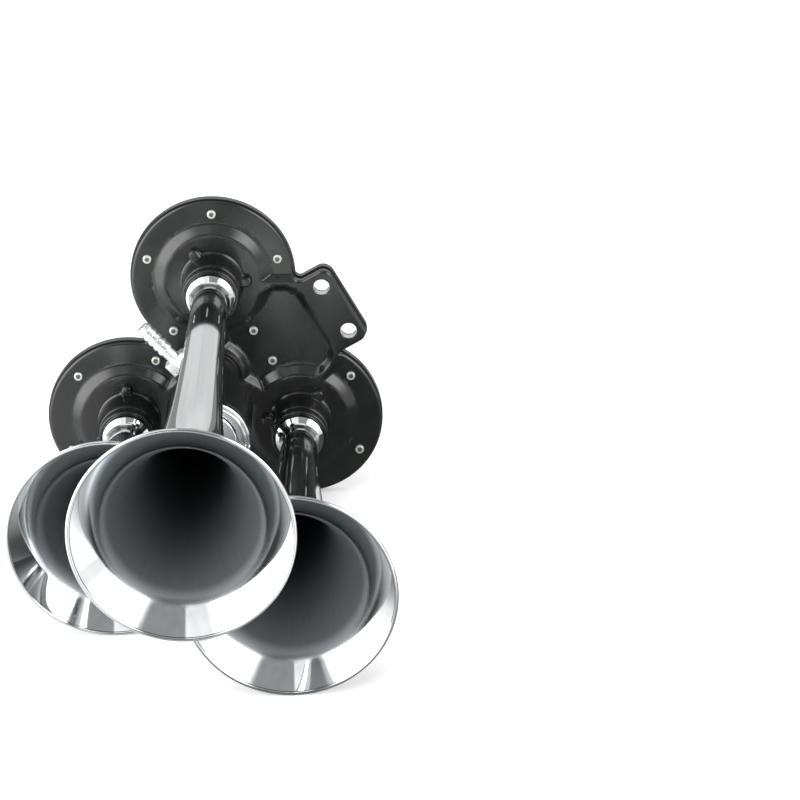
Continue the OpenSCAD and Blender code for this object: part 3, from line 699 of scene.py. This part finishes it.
def pressed_plate():
    """Closed sheet of the front plate with its turned rim."""
    edge = plate_loop(-SHEET)
    hole_loops = [circle(centre, TAB_HOLE_R + HOLE_ROUND, HOLE_POINTS) for centre in TAB_HOLES]
    plan, corners, borders = plate_plan(edge, hole_loops)
    heights = plate_height(plan)
    gap = 0.05
    slope = np.stack([(plate_height(plan + step) - plate_height(plan - step)) / (2 * gap)
                      for step in ([gap, 0], [0, gap])], 1)
    mesh_points = [row(p[0], p[1], h) for p, h in zip(plan, heights)]
    mesh_points += [row(p[0], p[1], h - SHEET) for p, h in zip(plan, heights)]
    mesh_normals = [Vector((-g[0], -1.0, -g[1])).normalized() for g in slope]
    mesh_normals += [Vector((g[0], 1.0, g[1])).normalized() for g in slope]
    triangles = [tuple(int(k) for k in t) for t in corners]
    triangles += [tuple(int(k) + len(plan) for k in t[::-1]) for t in corners]

    def underneath(border):
        return [k + len(plan) for k in border]

    def ring(loop, loop_heights, normals):
        """Add a loop of points with their heights and normals, and give their numbers."""
        start = len(mesh_points)
        mesh_points.extend(row(p[0], p[1], h) for p, h in zip(loop, loop_heights))
        mesh_normals.extend(normals)
        return list(range(start, start + len(loop)))

    def bridge(first, second):
        """Triangles between two loops of as many points."""
        for k in range(len(first)):
            j = (k + 1) % len(first)
            both = [(first[k], second[k], second[j]), (first[k], second[j], first[j])]
            triangles.extend(t for t in both if len(set(t)) == 3)

    # Over the bend, down the rim, round its foot and up inside it to the underside
    base = plate_loop(0.0)
    out = outward(base)
    top = plate_height(edge)
    steps = 6
    last = borders[0]
    for k in range(1, steps + 1):
        turn = math.pi / 2 * k / steps
        loop = plate_loop(-SHEET * (1 - math.sin(turn)))
        normals = [Vector((math.sin(turn) * o[0], -math.cos(turn), math.sin(turn) * o[1])) for o in out]
        now = ring(loop, top - SHEET * (1 - math.cos(turn)), normals)
        bridge(last, now)
        last = now
    lowest = np.full(len(base), -RIM_DEPTH + RIM_ROUND)
    down = [Vector((0, 1, 0))] * len(base)
    for now in (ring(base, lowest, [Vector((o[0], 0.0, o[1])) for o in out]),
                ring(plate_loop(-RIM_ROUND), lowest - RIM_ROUND, down),
                ring(plate_loop(-SHEET), lowest - RIM_ROUND, down),
                underneath(borders[0])):
        bridge(last, now)
        last = now

    # Over each hole's rounded edge and down its wall to the underside
    out = circle(np.zeros(2), 1.0, HOLE_POINTS)
    steps = 4
    for centre, border in zip(TAB_HOLES, borders[1:]):
        last = border
        for k in range(1, steps + 1):
            turn = math.pi / 2 * k / steps
            loop = circle(centre, TAB_HOLE_R + HOLE_ROUND * (1 - math.sin(turn)), HOLE_POINTS)
            normals = [Vector((-math.sin(turn) * o[0], -math.cos(turn), -math.sin(turn) * o[1])) for o in out]
            now = ring(loop, np.full(HOLE_POINTS, RAISE - HOLE_ROUND * (1 - math.cos(turn))), normals)
            bridge(now, last)
            last = now
        now = ring(circle(centre, TAB_HOLE_R, HOLE_POINTS), np.full(HOLE_POINTS, RAISE - SHEET),
                   [Vector((-o[0], 0, -o[1])) for o in out])
        bridge(now, last)
        bridge(underneath(border), now)
    mesh = smooth_mesh("pressed_front_plate", mesh_points, triangles)
    mesh.normals_split_custom_set_from_vertices(mesh_normals)
    return linked("pressed_front_plate", mesh)


plate = pressed_plate()
plate.data.materials.append(enamel)
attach(plate, "root")
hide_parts("front_plate")


# Hubs, lock rings and screws

def lathe(name, rings, count):
    """Closed shell of rings about the plan's z axis, in metres. A ring is a height and a radius or radii."""
    turn = np.linspace(0, 2 * math.pi, count, endpoint=False)
    points, faces = [], []
    for height, radius in rings:
        r = np.broadcast_to(radius, turn.shape)
        points += [(a * math.cos(w) * MM, a * math.sin(w) * MM, height * MM) for a, w in zip(r, turn)]
    for ring in range(len(rings) - 1):
        for k in range(count):
            a, b = ring * count + k, ring * count + (k + 1) % count
            faces.append((a, b, b + count, a + count))
    first, last = len(points), len(points) + 1
    points += [(0.0, 0.0, rings[0][0] * MM), (0.0, 0.0, rings[-1][0] * MM)]
    top = (len(rings) - 1) * count
    for k in range(count):
        j = (k + 1) % count
        faces.append((first, j, k))
        faces.append((last, top + k, top + j))
    mesh = smooth_mesh(name, points, faces)
    mesh.set_sharp_from_angle(angle=math.radians(38))
    return mesh


def seated(name, mesh, centre, material, node):
    """Stand a lathed mesh on the plate at a plan point, in place of a CAD node."""
    for vertex in mesh.vertices:
        x, y, z = vertex.co / MM
        vertex.co = row(centre[0] + x, centre[1] + y, z)
    obj = linked(name, mesh)
    mesh.materials.append(material)
    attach(obj, "root")
    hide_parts(node)


def with_lugs(body, lug, first_turn):
    """Radii round a hub's axis of a round body and its three lugs, run together with soft fillets.

    Each radius is found by halving a range between inside and outside the outline.
    """
    turn = np.linspace(0, 2 * math.pi, HUB_FACES, endpoint=False)
    low, high = np.full(HUB_FACES, body - 1.0), np.full(HUB_FACES, LUG_AT + lug + 3.0)
    for _ in range(30):
        mid = (low + high) / 2
        gap = mid - body
        for k in range(3):
            x, y = polar(LUG_AT, first_turn + 120 * k)
            off = np.hypot(mid * np.cos(turn) - x, mid * np.sin(turn) - y)
            gap = soft_min(gap, off - lug, LUG_FILLET)
        low, high = np.where(gap < 0, mid, low), np.where(gap < 0, high, mid)
    return low


def hub_rings(first_turn):
    """Rings of a cast hub from its foot up over the spigot and down the bore."""
    # Height, radius of the body and radius of the lugs
    foot = [(RAISE, HUB_FOOT_R, LUG_R), (5.5, HUB_FOOT_R, LUG_R), (5.85, 18.5, 3.45), (6.1, 18.2, 3.4),
            (6.2, 17.9, 3.35), (6.4, 17.65, 3.3), (6.8, 17.45, 3.2), (7.4, 17.35, 3.1), (7.9, 17.28, 3.0),
            (8.2, 17.25, 2.85), (8.42, 17.24, 2.5), (LUG_TOP, 17.23, 2.2)]
    rings = [(h, with_lugs(body, lug, first_turn)) for h, body, lug in foot]
    cone_foot = RAISE + 1.0
    taper = (HUB_TOP_R - HUB_WAIST_R) / (HUB_TOP - cone_foot)
    cone = [(h, HUB_WAIST_R + taper * (h - cone_foot)) for h in (LUG_TOP, 9.0, 12.0, 16.0, 20.0, 23.3)]
    shoulder = [(23.65, 16.42), (23.9, 16.2), (HUB_TOP, 15.9), (HUB_TOP, SPIGOT_R), (SPIGOT_TOP, SPIGOT_R),
                (SPIGOT_TOP, THROAT_R), (RAISE + 2.0, THROAT_R)]
    return rings + cone + shoulder


def lock_ring_mesh(name):
    """Turned ring with rounded shoulders, open in the middle."""
    bore = COLLAR_R + 0.2
    section = [(LOCK_BASE, 15.8), (LOCK_BASE + 0.1, 16.1), (LOCK_BASE + 0.35, LOCK_RING_R),
               (LIP_PLANE - 0.7, LOCK_RING_R), (LIP_PLANE - 0.3, 16.08), (LIP_PLANE - 0.08, 15.8),
               (LIP_PLANE, 15.4), (LIP_PLANE, COLLAR_R + 0.4), (LIP_PLANE - 0.15, bore), (LOCK_BASE, bore)]
    mesh = lathe(name, section + section[:1], 160)
    # The lathe's two end caps go, and its first and last ring become one
    shell = bmesh.new()
    shell.from_mesh(mesh)
    shell.verts.ensure_lookup_table()
    bmesh.ops.delete(shell, geom=list(shell.verts)[-2:], context="VERTS")
    bmesh.ops.remove_doubles(shell, verts=shell.verts, dist=1e-6)
    shell.to_mesh(mesh)
    shell.free()
    return mesh


for side, centre, first_turn in zip(("top", "left", "right"), DISCS, LUG_TURN):
    hub = lathe("cast_hub_" + side, hub_rings(first_turn), HUB_FACES)
    seated("cast_hub_" + side, hub, centre, casting, "hub_" + side)
    lock_ring = lock_ring_mesh("turned_lock_ring_" + side)
    seated("turned_lock_ring_" + side, lock_ring, centre, casting, "lock_ring_" + side)


def socket_screw():
    """One socket-head screw on the plan's z axis, with its shank. A point attribute marks the socket, where
    the material paints shade.
    """
    count = 36
    turn = np.linspace(0, 2 * math.pi, count, endpoint=False)
    hexagon = SOCKET_W / 2 / np.cos((turn + math.pi / 6) % (math.pi / 3) - math.pi / 6)
    tip = -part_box("cover_screws")[1][1] / MM
    head, wide = SCREW_HEAD_H, SCREW_HEAD_R
    rings = [(tip, SCREW_R - 0.3), (tip + 0.3, SCREW_R), (0.0, SCREW_R), (0.0, wide),
             (head - 0.4, wide), (head - 0.18, wide - 0.06), (head - 0.04, wide - 0.22), (head, wide - 0.45),
             (head, hexagon + 0.1), (head - 0.1, hexagon), (head - SOCKET_DEPTH, hexagon)]
    mesh = lathe("socket_screw", rings, count)
    # Painted shade on the socket's last two rings and its floor, not on the shank's tip
    painted_socket_shade = [1.0 if k // count >= len(rings) - 2 else 0.0 for k in range(len(mesh.vertices))]
    painted_socket_shade[-2] = 0.0
    mesh.attributes.new("painted_socket_shade", "FLOAT", "POINT").data.foreach_set("value", painted_socket_shade)
    return mesh


def round_each_disc():
    """Geometry Nodes tree that sets the given screw round each of the three discs. Lengths in mm."""
    tree = bpy.data.node_groups.new("screws_round_each_disc", "GeometryNodeTree")
    tree.interface.new_socket("Screw", in_out="INPUT", socket_type="NodeSocketGeometry")
    for name in ("Disc Circle Radius", "Screw Circle Radius", "Centre X", "Centre Y"):
        tree.interface.new_socket(name, in_out="INPUT", socket_type="NodeSocketFloat")
    tree.interface.new_socket("Screws per Disc", in_out="INPUT", socket_type="NodeSocketInt")
    tree.interface.new_socket("Finish", in_out="INPUT", socket_type="NodeSocketMaterial")
    tree.interface.new_socket("Geometry", in_out="OUTPUT", socket_type="NodeSocketGeometry")
    sizes = tree.nodes.new("NodeGroupInput").outputs

    def metres(name):
        return (Field(tree, sizes[name]) * MM).source

    discs = add(tree, "GeometryNodeMeshCircle", {"Vertices": 3, "Radius": metres("Disc Circle Radius")})
    circle_of_screws = add(tree, "GeometryNodeMeshCircle", {"Vertices": sizes["Screws per Disc"],
                                                            "Radius": metres("Screw Circle Radius")})
    place = add(tree, "ShaderNodeSeparateXYZ", {0: add(tree, "GeometryNodeInputPosition").outputs[0]})
    heading = Field(tree, place.outputs["Y"]).math("ARCTAN2", Field(tree, place.outputs["X"]))
    turned = add(tree, "ShaderNodeCombineXYZ", {"Z": heading.source})
    one_disc = add(tree, "GeometryNodeInstanceOnPoints", {
        "Points": circle_of_screws.outputs[0], "Instance": sizes["Screw"]})
    all_discs = add(tree, "GeometryNodeInstanceOnPoints", {
        "Points": discs.outputs[0], "Rotation": turned.outputs[0], "Instance": one_disc.outputs[0]})
    top_first = add(tree, "GeometryNodeTransform", {
        "Geometry": all_discs.outputs[0], "Rotation": (0.0, 0.0, math.pi / 2)})
    shift = add(tree, "ShaderNodeCombineXYZ", {"X": metres("Centre X"), "Z": metres("Centre Y")})
    upright = add(tree, "GeometryNodeTransform", {
        "Geometry": top_first.outputs[0], "Translation": shift.outputs[0],
        "Rotation": (math.pi / 2, 0.0, 0.0)})
    whole = add(tree, "GeometryNodeRealizeInstances", {"Geometry": upright.outputs[0]})
    finished = add(tree, "GeometryNodeSetMaterial", {
        "Geometry": whole.outputs[0], "Material": sizes["Finish"]})
    tree.links.new(finished.outputs[0], tree.nodes.new("NodeGroupOutput").inputs[0])
    return tree


screws = grown("cover_socket_screws", round_each_disc(), {
    "Disc Circle Radius": PITCH_R, "Screw Circle Radius": SCREW_CIRCLE_R, "Centre X": float(-ORIGIN[0]),
    "Centre Y": float(-ORIGIN[1]), "Screws per Disc": SCREWS_PER_DISC, "Finish": screw_zinc}, socket_screw())
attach(screws, "root")
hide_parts("cover_screws")


# Floor, light and camera

def floor_plane():
    """Pale floor that touches the two lower bells and the rim of the cover behind them."""
    left, right = DISCS[1], DISCS[2]
    a = Vector(row(left[0], left[1] - BELL_R, REACHES["trumpet_short"] - BEAD_R))
    b = Vector(row(right[0], right[1] - BELL_R, REACHES["trumpet_middle"] - BEAD_R))
    c = Vector(row(right[0], right[1] - DISC_R - COVER_PROUD, COVER_BACK))
    up = (b - a).cross(c - a).normalized()
    if up.z < 0:
        up = -up
    # Metres: half the floor's side, and the hair by which it clears what stands on it
    half_side, play = 6.0, 0.0002
    across = Vector((1, 0, 0)) - up * up.x
    across.normalize()
    ahead = up.cross(across)
    centre = (a + b + c) / 3 - up * play
    corners = [centre + across * half_side * i + ahead * half_side * j
               for i, j in ((-1, -1), (1, -1), (1, 1), (-1, 1))]
    mesh = bpy.data.meshes.new("studio_floor")
    mesh.from_pydata([tuple(v) for v in corners], [], [(0, 1, 2, 3)])
    return linked("studio_floor", mesh)


def rise(value, start, end):
    """Field that goes smoothly from 0 at start to 1 at end."""
    return eased((value - start) / (end - start))


def paper_material():
    """Matt white paper sweep. Shiny surfaces see it lit at the left and far right and dim just in front.

    The limits of each patch are metres in the row's frame.
    """
    mat = finish("matt_white_paper", "#f8f8f8", 0.0, 0.9)
    tree = mat.node_tree
    paper = tree.nodes["Principled BSDF"]
    # Lit from below too, as a light table is, so that shadows on it stay faint
    paper.inputs["Emission Color"].default_value = hex_rgb("#ffffff")
    paper.inputs["Emission Strength"].default_value = 0.3
    split = add(tree, "ShaderNodeSeparateXYZ", {0: add(tree, "ShaderNodeTexCoord").outputs["Object"]})
    x, y = (Field(tree, split.outputs[name]) for name in "XY")
    front = (1.3 * rise(-x, 0.02, 0.20)).math("MAXIMUM", 0.5 * rise(-y, 0.20, 0.36))
    right = rise(x, 0.35, 0.50).math("MAXIMUM", rise(x, 0.0, 0.06) * rise(-y, 0.36, 0.42))
    glow = DIM + front + right + (LAMPS * 0.4) * rise(-x, 0.25, 0.50)
    behind = rise(y, 0.0, 0.1)
    glow = glow * (1.0 - behind) + behind * (BACK - 0.6 * rise(y, 0.25, 0.60))
    seen = add(tree, "ShaderNodeEmission", {"Strength": glow.source})
    ray = add(tree, "ShaderNodeLightPath").outputs["Is Glossy Ray"]
    mixed = add(tree, "ShaderNodeMixShader", {0: ray, 1: paper.outputs[0], 2: seen.outputs[0]})
    tree.links.new(mixed.outputs[0], tree.nodes["Material Output"].inputs["Surface"])
    return mat


floor = floor_plane()
floor.data.materials.append(paper_material())


def light_tent():
    """World of a light tent: white cloth at both sides and behind, a greyer strip overhead, dim in front.

    The limits of each patch are parts of the unit direction: x to the right, y to the back, z up.
    """
    world = bpy.data.worlds.new("light_tent")
    world.use_nodes = True
    tree = world.node_tree
    direction = add(tree, "ShaderNodeTexCoord").outputs["Generated"]
    split = add(tree, "ShaderNodeSeparateXYZ", {0: direction})
    x, y, z = (Field(tree, split.outputs[name]) for name in "XYZ")
    side = rise(x.math("ABSOLUTE"), 0.20, 0.45)
    behind = rise(y, 0.45, 0.75)
    strip = rise(z, 0.55, 0.75) * (1.0 - rise(x, 0.40, 0.66)) * rise(x, -0.09, -0.06)
    strip = strip * rise(y, -0.72, -0.62) * (1.0 - rise(y, 0.1, 0.2))
    over = rise(z, 0.55, 0.8)
    glow = DIM + (CLOTH - DIM) * side.math("MAXIMUM", over)
    glow = glow * (1.0 - behind) + behind * BACK
    high_behind = rise(z, 0.42, 0.52) * rise(y, 0.25, 0.45)
    flank = rise(x.math("ABSOLUTE"), 0.35, 0.50) * rise(y, 0.12, 0.30) * (1.0 - rise(y, 0.80, 0.90))
    glow = glow * (1.0 - 0.7 * high_behind) * (1.0 - 0.6 * flank)
    left = rise(-x, 0.35, 0.65)
    high_right = rise(x, 0.28, 0.5) * rise(z, 0.15, 0.45)
    path = add(tree, "ShaderNodeLightPath")
    glossy_ray, camera_ray = (Field(tree, path.outputs[name]) for name in ("Is Glossy Ray", "Is Camera Ray"))
    lamps = left.math("MAXIMUM", high_right) * (1.0 - rise(y, 0.0, 0.2))
    glow = glow + lamps * glossy_ray * (LAMPS - CLOTH)
    glow = glow * (1.0 - strip) + strip * STRIP
    # Slack cloth: broad folds that vary its brightness a little
    folds = add(tree, "ShaderNodeTexNoise", {"Vector": direction, "Scale": 5.0, "Detail": 1.5})
    glow = glow * Field(tree, spread_over(tree, folds.outputs["Fac"], 0.88, 1.08))
    # The camera itself sees plain white behind the paper
    glow = glow * (1.0 - camera_ray) + camera_ray
    background = tree.nodes["Background"]
    background.inputs["Color"].default_value = (1.0, 1.0, 1.0, 1.0)
    tree.links.new(glow.source, background.inputs["Strength"])
    return world


bpy.context.scene.world = light_tent()


def soft_box(name, place, target, size, power):
    """Soft light that shapes the matt surfaces. Mirror surfaces see the tent instead."""
    light = bpy.data.lights.new(name, "AREA")
    light.shape = "RECTANGLE"
    light.size, light.size_y = size
    light.energy = power
    obj = linked(name, light)
    obj.location = place
    obj.rotation_euler = (Vector(target) - Vector(place)).to_track_quat("-Z", "Y").to_euler()
    obj.visible_glossy = False


AIM = (-0.07, -0.15, -0.03)
soft_box("key_above", (-0.2, -0.9, 1.9), AIM, (1.6, 1.6), 18)
soft_box("left_front", (-1.3, -1.3, 0.1), AIM, (0.8, 0.8), 26)
soft_box("right_front", (1.3, -1.3, 0.1), AIM, (0.8, 0.8), 12)

bpy.context.scene.view_settings.view_transform = "Standard"

camera_data = bpy.data.cameras.new("photo_camera")
camera_data.sensor_width = 36.0
camera_data.lens = 199.578
camera_data.clip_end = 50.0
camera = linked("photo_camera", camera_data)
camera.location = (0.04723, -2.40672, 0.897592)
camera.rotation_euler = [math.radians(v) for v in (68.3431, 0.1969, 0.1562)]
bpy.context.scene.camera = camera
